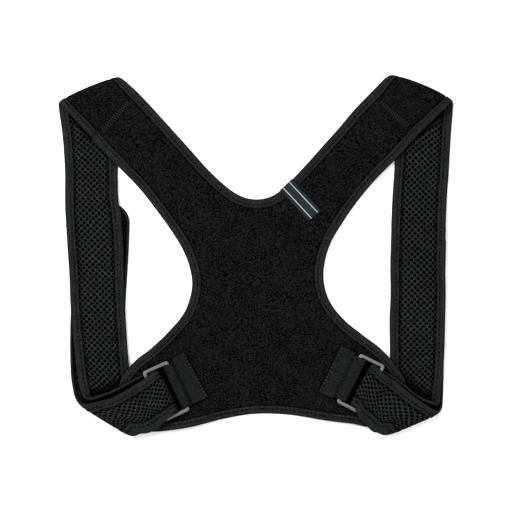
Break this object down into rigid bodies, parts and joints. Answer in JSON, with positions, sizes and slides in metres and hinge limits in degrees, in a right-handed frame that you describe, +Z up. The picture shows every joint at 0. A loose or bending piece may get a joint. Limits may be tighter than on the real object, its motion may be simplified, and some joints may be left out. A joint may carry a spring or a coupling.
{
  "type": "posture corrector",
  "caption": "Padded X-shaped back panel with shoulder straps that pass through metal rings and double back, laid flat.",
  "frame": {"origin": "under the middle of the whole thing, on the surface that it lies on", "axes": "+Z up from the surface, +Y toward the shoulders, +X across the back, to the right of someone looking down on it"},
  "size_m": [0.3926, 0.3604, 0.0205],
  "materials": {
    "panel_cloth": "short looped pile, matt black",
    "strap_cloth": "short looped pile, matt black",
    "air_mesh": "coarse knitted spacer mesh, charcoal",
    "edge_tape": "folded ribbed tape, charcoal, stitched",
    "webbing": "woven webbing, charcoal",
    "ring_metal": "satin grey coat",
    "hook_pad": "grip pad, matt",
    "label_weave": "woven label, dark slate, bare"
  },
  "bodies": {
    "root": {"back_panel": "panel_cloth", "neck_binding": "edge_tape", "hem_binding": "edge_tape", "armhole_binding_left": "edge_tape", "armhole_binding_right": "edge_tape", "label": "label_weave", "strap_left": "strap_cloth", "strap_mesh_left": "air_mesh", "strap_binding_left": "edge_tape", "hook_pad_left": "hook_pad", "ring_left": "ring_metal", "webbing_tab_left": "webbing", "strap_right": "strap_cloth", "strap_mesh_right": "air_mesh", "strap_binding_right": "edge_tape", "hook_pad_right": "hook_pad", "ring_right": "ring_metal", "webbing_tab_right": "webbing"}
  },
  "joints": []
}
